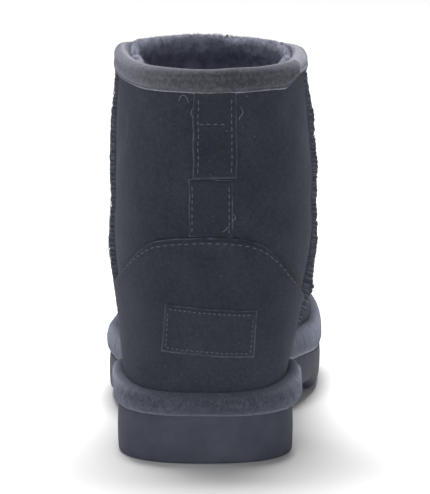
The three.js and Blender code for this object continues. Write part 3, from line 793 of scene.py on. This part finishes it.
def make_rand():
    angle = sections(980)
    turn = np.linspace(0, math.pi, 34)[None]
    outer, base, high, lip, lap = rand_place(angle, turn)
    flat = np.linspace(1, 0, 8)[None, 1:-1]
    v_flat = share_at_height(lambda v: angle, base[..., 2] + flat * high)
    inner = surface(v_flat, angle, 0.25 + lip * smooth((flat - 0.45) / 0.5))
    points = np.concatenate([outer, inner], axis=1)
    # Painted lighter along the roll's lower side, little at the heel and more forward: its raw lower edge
    # together with a painted highlight where the roll turns under.
    rand_paleness = bump(turn, 0.6, 0.36) * mix(0.08, 0.75, smooth((station_of(base) - 40) / 50))
    rand_paleness = rand_paleness + 0.42 * lip * bump(turn, 2.6, 0.36)
    rand_paleness = rand_paleness + (0.12 * np.clip(noise(outer, 1.6, 55), 0, 1) + 0.8 * lap) * np.sin(turn)
    edge = np.zeros(points.shape[:2])
    edge[:, :turn.size] = np.clip(rand_paleness, 0, 1)
    piece("rand_roll", points, loft(points), RAND_SUEDE, ["rand"], edge)


BINDING = {"drop": 7.2, "gap": 0.3, "leather": 1.6, "middle": -1.5, "half": 3.6, "inner_drop": 3.0,
           "row": 0.8, "furrow": 0.6, "centre": (-4, 70, 170)}
LAP = {"angle": 1.5 * math.pi - 0.56, "reach": 0.03, "step": 1.4, "short": 4.3}


def binding_drop(angle):
    """How far the binding reaches below the rim outside; its front end is narrow beside the lap."""
    past = angle - LAP["angle"]
    front = (1 - 0.5 * smooth(past / 0.5)) * (1 - smooth((past - 0.7) / 0.8))
    short = np.where(past < -0.05, smooth((past + 0.27) / 0.22), front)
    return BINDING["drop"] + 0.45 * noise(skin(1.0, angle) * (1, 1, 0), 11, 61) - LAP["short"] * short


def make_binding():
    """The rolled binding, whose two ends lap just behind the medial side seam."""
    angle = sections(760)
    past = angle - LAP["angle"]
    step = LAP["step"] * smooth(-past / LAP["reach"]) * bump(past, -0.1, 0.3)
    slit = bump(past, 0.018, 0.018)
    rim = skin(1.0, angle)
    rim_z, round_rim = rim[..., 2], rim * (1, 1, 0)
    gap, leather = BINDING["gap"], BINDING["leather"]
    down = np.concatenate([[1.0, 0.97, 0.9, 0.85, 0.8, 0.75], np.linspace(0.69, 0.12, 8)])[None]
    v = share_at_height(lambda v: angle, rim_z - down * binding_drop(angle))
    belly = 0.7 * np.sin(math.pi * np.clip(1.1 - down, 0, 1) / 1.1)
    thick = leather * (1 - 0.7 * bump(down, 1, 0.05)) + belly + step - 1.5 * slit
    leg = surface(v, angle, gap + thick - BINDING["furrow"] * bump(down, BINDING["row"], 0.09))
    turn = np.linspace(0.12, math.pi - 0.1, 18)[None]
    crown = mix(4.0, 3.0, smooth((np.cos(angle) - 0.1) / 0.6))
    crown = crown * (1 + 0.1 * noise(round_rim, 16, 62)) - 1.4 * slit
    middle, half = BINDING["middle"] + step / 2 + 0.35, BINDING["half"] + step / 2 + 0.15
    arch = rim_arch(angle, turn, middle, half, crown)
    innermost = BINDING["middle"] - BINDING["half"]
    v_in = share_at_height(lambda v: angle, rim_z - np.linspace(0.1, 1, 5)[None] * BINDING["inner_drop"])
    inside = surface(v_in, angle, innermost)
    tuck = surface(v_in[:, ::-2], angle, innermost + leather)
    fold = np.linspace(innermost + leather, gap, 4)[None]
    over = surface(1.0, angle) + level(normal_at(1.0, angle)) * fold[..., None]
    over[..., 2] += 0.5
    under = surface(v[:, 1::2][:, ::-1], angle, gap)
    points = np.concatenate([leg, arch, inside, tuck, over, under], axis=1)
    points = points + 0.14 * noise(points, 1.9, 63)[..., None] * unit(points - BINDING["centre"])
    edge = np.zeros(points.shape[:2])
    edge[:, :down.size] = 0.04 + 0.5 * bump(down, 1, 0.1) * (1 + 0.7 * noise(round_rim, 2.4, 66))
    # Painted highlight: the crown is painted lighter over its top and in a band along its inner side.
    crest = bump(turn, 1.72, 0.28) * (0.75 + 0.4 * noise(round_rim, 3, 65))
    edge[:, down.size:down.size + turn.size] = 0.04 + 0.12 * np.sin(turn) ** 2 + 0.7 * crest
    # Painted light: the binding is painted lighter on the lateral side and behind the medial side.
    half_turns = angle / math.pi
    edge = edge + 0.36 * bump(half_turns, 0.6, 0.28) + 0.16 * bump(half_turns, 1.36, 0.2)
    edge = edge + 0.1 * np.clip(noise(points, 1.1, 64), -0.3, 1)
    front_end = smooth((past - 0.03) / 0.03)
    edge = edge + 0.7 * bump(past, -0.014, 0.02) + front_end * (1 - 0.5 * smooth((past - 0.1) / 0.5))
    edge = edge * (1 - smooth(past - 1.0) * front_end) - 0.3 * bump(past, 0.015, 0.02)
    piece("collar_roll", points, loft(points), BINDING_SUEDE, ["collar_binding"],
          np.clip(edge, 0, 1))


# ---- Counter, straps and label ----

SEAM = {"top": 66, "bottom": 84}  # stations of the side seams at the rim and at the rand


def seam_station(height):
    return mix(SEAM["bottom"], SEAM["top"], (height - HEEL_HEIGHT) / (RIM_HEIGHT - HEEL_HEIGHT))


# The counter's top edge: heights on the lateral and medial side, from the back (0) to a side seam (1).
COUNTER_EDGE = np.array([(0, 102.8, 102.8), (0.2, 102.4, 101.3), (0.35, 99.3, 94.6), (0.5, 91.5, 83),
                         (0.7, 80, 72), (1, 70, 62)])
COUNTER = {"inner": 0.4, "outer": 1.9, "width": 190, "tall": 60, "raise": 1.1, "over_strap": 1.3,
           "stands_for": "heel_counter", "steps": (190, 70), "painted_light": 0.085}


def counter_edge(share, side):
    """The top edge's height, with the table's corners rounded off."""
    total = 0
    for near in np.linspace(-0.06, 0.06, 7):
        at = np.abs(share + near)
        lateral, medial = (np.interp(at, COUNTER_EDGE[:, 0], COUNTER_EDGE[:, k]) for k in (1, 2))
        total = total + np.where(side > 0, lateral, medial) / 7
    return total


def counter_place(u, w, outward):
    side = np.where(u < 0.5, 1, -1)
    share = np.abs(1 - 2 * u)

    def angle_at(v):
        seam = angle_at_station(v, side, seam_station(skin(v, math.pi)[..., 2]) - 3)
        return math.pi + (seam - math.pi) * share

    base = skin(0.0, angle_at(np.zeros_like(u)))
    foot = base[..., 2] + rand_height(station_of(base)) - 2.5
    top = counter_edge(share, side) + COUNTER["raise"] * (1 - share) + 0.35 * noise(base * (1, 1, 0), 7, 71)
    v = share_at_height(angle_at, mix(foot, top, w))
    points = surface(v, angle_at(v))
    strap = PATCHES["strap_lower_suede"]
    beside = strap["width"] / 2 + 3 - np.abs(points[..., 0] - strap["x"])
    over = COUNTER["over_strap"] * smooth(beside / 3) * smooth((points[..., 2] - 97) / 6)
    return points + normal_at(v, angle_at(v)) * (outward + over)[..., None]


def back_place(patch):
    """Where shares across and along a rectangular patch on the back of the boot lie."""
    turn = math.radians(patch["tilt"])

    def place(u, w, outward):
        right, up = (0.5 - u) * patch["width"], (w - 0.5) * patch["tall"]
        wave = np.stack([right * 0.4, np.full_like(right, patch["height"]), up], axis=-1)
        right = right + patch["ragged"] * noise(wave, 6, 72) * np.abs(2 * u - 1)
        up = up + patch["ragged"] * noise(wave * (2.5, 1, 1), 6, 73) * np.abs(2 * w - 1)
        x = patch["x"] + right * math.cos(turn) - up * math.sin(turn)
        height = patch["height"] + right * math.sin(turn) + up * math.cos(turn)
        v = share_at_height(lambda v: angle_at_x(v, x), height)
        return surface(v, angle_at_x(v, x), outward)

    return place


STRAP = {"tilt": 0, "ragged": 0.7, "inner": 0.15, "outer": 1.6, "painted_light": 0, "pitch": 3.2}
PATCHES = {
    "strap_lower_suede": {**STRAP, "x": -2.5, "width": 20.2, "height": 117.3, "tall": 27, "levels": (),
                          "stands_for": "back_strap_lower", "steps": (40, 50), "inset": 1.8},
    "strap_upper_suede": {**STRAP, "x": -4.4, "width": 19.8, "height": 152.2, "tall": 42, "levels": (0.61,),
                          "stands_for": "back_strap_upper", "steps": (40, 70), "inset": 2.5},
    "label_suede": {"x": -1.7, "width": 40.3, "height": 60.6, "tall": 21, "tilt": 4.2, "ragged": 0.35,
                    "inner": 2.05, "outer": 3.1, "painted_light": 0.08, "pitch": 2.3,
                    "stands_for": "label_patch", "steps": (70, 40), "inset": 1.9},
}


def make_overlays():
    for name, sizes in {"heel_counter_suede": COUNTER, **PATCHES}.items():
        place = counter_place if sizes is COUNTER else back_place(sizes)
        size = (sizes["width"], sizes["tall"])
        points, faces, edge = sheet(place, size, sizes["steps"], sizes["inner"], sizes["outer"])
        # Painted light: the counter is painted lighter towards its foot and the label lighter all over, where
        # the low back of the boot lies in shade.
        low = smooth((95 - points[:, 2]) / 50) if sizes is COUNTER else 1
        material = STRAP_SUEDE if "strap" in name else SUEDE
        edge = np.clip(edge + sizes["painted_light"] * low, 0, 1)
        piece(name, points, faces, material, [sizes["stands_for"]], edge)


# ---- Seams and thread ----

def side_seam_path(side):
    """Shares, angles and heights up a side seam, from the rand to the binding."""
    def angle_at(v):
        return angle_at_station(v, side, seam_station(skin(v, math.pi)[..., 2]))

    height = np.arange(35.5, 176, 0.5)
    v = share_at_height(angle_at, height)
    return v, angle_at(v), height


VAMP_SEAM = {"sides": 86, "front": 112, "sharp": 1.6}


def vamp_seam_path():
    """Shares, angles and heights over the instep, from the medial to the lateral side seam."""
    ends = []
    for side in (-1, 1):
        v, angle, height = side_seam_path(side)
        ends.append(np.interp(VAMP_SEAM["sides"], height, angle))
    angle = np.linspace(ends[0] - TAU, ends[1], 420)
    far = np.abs(angle) / np.where(angle < 0, TAU - ends[0], ends[1])
    height = mix(VAMP_SEAM["front"], VAMP_SEAM["sides"], far ** VAMP_SEAM["sharp"])
    v = share_at_height(lambda v: angle, height)
    return v, angle, height


WHIP = {"pitch": 2.3, "half": 2.4, "proud": 3.0, "radius": 0.24, "slant": 1.1}


def seam_frame(v, angle):
    """The middle line of a seam with its ways across and outwards, and the distance along it."""
    line = surface(v, angle)
    outward = normal_at(v, angle)
    across = unit(np.cross(outward, unit(np.gradient(line, axis=0))))
    return line, across, outward, distance_along(line)


def flattened_cos(turn):
    """A cosine with fuller ends, for a seam's boxy section."""
    return np.sign(np.cos(turn)) * np.abs(np.cos(turn)) ** 0.6


def make_ridge(name, v, angle, proud, seed):
    """A seam whose two raw edges stand up together, pinched between its whip stitches."""
    line, across, outward, far = seam_frame(v, angle)
    side = flattened_cos(np.linspace(0, math.pi, 17))
    swell = 1 + 0.07 * np.cos(far / WHIP["pitch"] * TAU)
    swell = swell + 0.12 * noise(line, 7, seed) + 0.2 * noise(line, 2.4, seed)
    up = np.sin(np.linspace(0, math.pi, 17)) ** 0.5 - 0.24 * bump(side, 0, 0.22)
    high = (proud * swell)[:, None] * up[None]
    wide = WHIP["half"] * (0.5 + 0.5 * swell)[:, None] * side[None]
    points = line[:, None] + across[:, None] * wide[..., None] + outward[:, None] * (high - 0.12)[..., None]
    rows, corners = points.shape[:2]
    cap = np.arange(corners)[None]
    faces = [grid_quads(rows, corners, False, True), cap[:, ::-1], cap + (rows - 1) * corners]
    edge = 0.32 + 0.6 * (1 - up[None]) ** 2 + 0.3 * bump(side, 0, 0.3) + 0.3 * noise(points, 1.5, 86)
    piece(name, points, faces, SUEDE, edge=np.clip(edge, 0, 1))


def whip_stitches(v, angle, proud):
    """Paths of the stitches that go over a raised seam from side to side."""
    line, across, outward, far = seam_frame(v, angle)
    middle = np.arange(WHIP["pitch"] / 2, far[-1], WHIP["pitch"])[:, None]
    turn = np.linspace(0.02, math.pi - 0.02, 11)[None]
    uneven = noise(np.stack([middle, 0 * middle + 9, 0 * middle], axis=-1), 1.7, 85)
    at = np.clip(middle + 0.6 * uneven + (WHIP["slant"] + 1.1 * uneven) * np.cos(turn), 0, far[-1])
    side = flattened_cos(turn) * (WHIP["half"] + 0.25)
    high = (np.interp(at, far, proud) * 0.93 + 0.15) * np.sin(turn) ** 0.5
    line, across, outward = (follow(values, far, at) for values in (line, across, outward))
    return line + across * side[..., None] + outward * high[..., None]


def stitch_row(line, outward, pitch, share=0.62, lift=0.32):
    """Paths of a row of stitches along a line that lies on the leather."""
    far = distance_along(line)
    turn = np.linspace(0, 1, 5)[None]
    at = (np.arange(int(far[-1] / pitch))[:, None] + 0.2 + share * turn) * pitch
    high = lift * np.sin(math.pi * turn) - 0.1
    return follow(line, far, at) + follow(outward, far, at) * high[..., None]


def row_on(place, u, w, outer, pitch):
    """A row of stitches along a line of shares across and along a sheet."""
    line = place(u, w, np.full_like(u, outer))
    outward = unit(place(u, w, np.full_like(u, outer + 1.0)) - line)
    return stitch_row(line, outward, pitch)


def thread_piece(name, rows, radius, edge):
    """Joined stitches, each row an array of paths."""
    points, faces, start = [], [], 0
    for row in rows:
        made, quads = tubes(row, radius)
        points.append(made)
        faces += [f + start for f in quads]
        start += len(made)
    points = np.concatenate(points)
    piece(name, points, faces, THREAD, edge=edge + np.zeros(len(points)))


SIDE_SEAMS = {  # side is 1 or -1, and foot is how proud the seam is low down, as a share
    "side_seam_lateral": {"side": 1, "foot": 0.95},
    "side_seam_medial": {"side": -1, "foot": 2.0},
}


def side_seam_proud(height, foot):
    """How far a side seam stands out; the binding and the rand press it down, the vamp seam lifts it."""
    low, top = mix(foot, 1, smooth((height - 62) / 24)), mix(0.6, 1, smooth((172 - height) / 26))
    return WHIP["proud"] * low * top * mix(0.5, 1, smooth((height - 36) / 12)) + 0.5 * bump(height, 87, 5)


def make_seams():
    whips = []
    for name, seam in SIDE_SEAMS.items():
        v, angle, height = side_seam_path(seam["side"])
        proud = side_seam_proud(height, seam["foot"])
        make_ridge(name, v, angle, proud, 81 + seam["side"])
        whips.append(whip_stitches(v, angle, proud))
    v, angle, height = vamp_seam_path()
    proud = np.full(len(v), 0.75 * WHIP["proud"])
    make_ridge("vamp_seam", v, angle, proud, 84)
    whips.append(whip_stitches(v, angle, proud))
    thread_piece("whip_stitches", whips, WHIP["radius"], 0.25)


def make_stitches():
    """The rows of stitches on the counter, the straps and the patch."""
    u = np.linspace(0.012, 0.988, 500)
    inset = 2.3 / mix(COUNTER["tall"] + 10, COUNTER["tall"] - 25, np.abs(1 - 2 * u))
    rows = [row_on(counter_place, u, 1 - inset, COUNTER["outer"], 3.6)]
    for patch in PATCHES.values():
        place = back_place(patch)
        near, close = patch["inset"] / patch["width"], patch["inset"] / patch["tall"]
        ends = np.linspace(close, 1 - close, 60)
        for at in (near, 1 - near):
            rows.append(row_on(place, np.full_like(ends, at), ends, patch["outer"], patch["pitch"]))
        ends = np.linspace(near, 1 - near, 60)
        for at in patch.get("levels", (close, 1 - close)):
            rows.append(row_on(place, ends, np.full_like(ends, at), patch["outer"], patch["pitch"]))
    thread_piece("stitches", rows, 0.26, 0.06)


def make_rand_stitches():
    """The row under the rand, a few of whose stitches are painted near white as painted highlights."""
    angle = np.linspace(math.pi - 1.2, math.pi + 1.2, 700)
    line = rand_place(angle[:, None], np.array([[0.3]]))[0][:, 0]
    row = stitch_row(line, level(normal_at(0 * angle, angle)), 4.1, 0.7, 0.35)
    painted_glint = np.random.default_rng(87).uniform(0, 1, len(row)) ** 3
    thread_piece("rand_stitches", [row], 0.2, np.repeat(painted_glint, row.shape[1] * 6))


def make_binding_stitches():
    """The row in the binding's furrow, which climbs over the lap."""
    angle = np.linspace(0, TAU, 900)
    height = skin(1.0, angle)[..., 2] - binding_drop(angle) * BINDING["row"]
    v = share_at_height(lambda v: angle, height)
    on_lap = (angle > LAP["angle"] - 0.3) & (angle < LAP["angle"])
    outer = BINDING["gap"] + BINDING["leather"] + 0.5 - BINDING["furrow"] + 1.3 * on_lap
    row = stitch_row(surface(v, angle, outer), normal_at(v, angle), 2.4, lift=0.35)
    thread_piece("binding_stitches", [row], 0.24, 0.0)


# Loose ends of thread: places across the back (x) and heights.
THREAD_ENDS = (
    ((7.4, 166.2), (7.8, 168.6), (9.2, 170.2), (10.8, 169.0), (11.8, 166.6)),
    ((5.2, 164.5), (5.9, 162.0), (4.9, 159.8)),
    ((-15.6, 164.5), (-16.4, 162.2), (-15.0, 160.0), (-15.2, 158.6)),
    ((-10.9, 108.4), (-9.8, 108.8), (-9.0, 107.4), (-7.6, 106.6)),
    ((-12.4, 115.0), (-13.4, 113.2), (-12.2, 111.6)),
)


def make_thread_ends():
    paths = []
    share = np.linspace(0, 1, 24)
    for number, spots in enumerate(THREAD_ENDS):
        x, height = spline(np.array(spots), share * (len(spots) - 1))
        v = share_at_height(lambda v: angle_at_x(v, x), height)
        lift = 0.6 + 1.5 * np.sin(math.pi * share) + (1.0 if number else 0.2)
        paths.append(surface(v, angle_at_x(v, x), lift))
    thread_piece("thread_ends", [np.array(paths)], 0.14, 0.3)


# ---- The pieces, the floor, the light and the camera ----

make_upper()
make_lining()
fur("fleece_fur_collar", 26000, (0.86, 1.03), 2.4, 34, 0.2)
fur("fleece_fur_shaft", 9000, (0.5, 0.86), 2.6, 35, 0.26)
make_insole()
make_sole()
make_rand()
make_binding()
make_overlays()
make_seams()
make_stitches()
make_rand_stitches()
make_binding_stitches()
make_thread_ends()


def make_floor():
    mesh = bpy.data.meshes.new("floor")
    mesh.from_pydata([(x, y, 0) for x, y in ((-4, -4), (4, -4), (4, 4), (-4, 4))], [], [(0, 1, 2, 3)])
    material, tree, shader, place = start_material("floor", 0.7)
    shade = noise_node(tree, place, 400, 2)
    tree.links.new(ramp_node(tree, shade, 0.3, 0.7, (0.9, 0.9, 0.9), (0.92, 0.92, 0.92)),
                   shader.inputs["Base Color"])
    mesh.materials.append(material)
    floor = new_object("floor", mesh)


def make_light(name, place, target, size, power):
    light = bpy.data.lights.new(name, "AREA")
    light.shape = "RECTANGLE"
    light.size, light.size_y = size
    light.energy = power
    lamp = new_object(name, light)
    lamp.location = place
    towards = Vector(target) - Vector(place)
    lamp.rotation_euler = towards.to_track_quat("-Z", "Y").to_euler()


def make_world(strength):
    world = bpy.data.worlds.new("studio")
    world.use_nodes = True
    world.node_tree.nodes["Background"].inputs["Color"].default_value = (1, 1, 1, 1)
    world.node_tree.nodes["Background"].inputs["Strength"].default_value = strength
    bpy.context.scene.world = world


CAMERA = {"lens": 389.15, "aside": -4.5, "behind": 2400, "height": 532, "down": 10.182}


def make_camera():
    """The photograph's viewing angle: from behind the heel, about ten degrees down."""
    camera = bpy.data.cameras.new("camera")
    camera.sensor_width = 36
    camera.lens = CAMERA["lens"]
    camera.clip_end = 20
    view = new_object("camera", camera)
    y = SHIFT[1] + LENGTH / 2 + CAMERA["behind"]
    view.location = Vector((SHIFT[0] + CAMERA["aside"], y, CAMERA["height"])) / 1000
    view.rotation_euler = (math.radians(90 - CAMERA["down"]), 0, math.pi)
    bpy.context.scene.camera = view


make_floor()
make_world(0.155)
make_light("key", (0.05, -0.72, 1.95), (0, 0, 0.05), (1.1, 0.8), 62)
make_light("left", (1.6, -0.3, 0.8), (0, 0, 0.08), (0.7, 1.2), 6)
make_light("right", (-1.6, -0.3, 0.8), (0, 0, 0.08), (0.7, 1.2), 0.7)
make_light("fill", (0, 2.1, 0.22), (0, 0, 0.08), (1.4, 0.3), 19.6)
make_camera()
bpy.context.scene.view_settings.view_transform = "Standard"
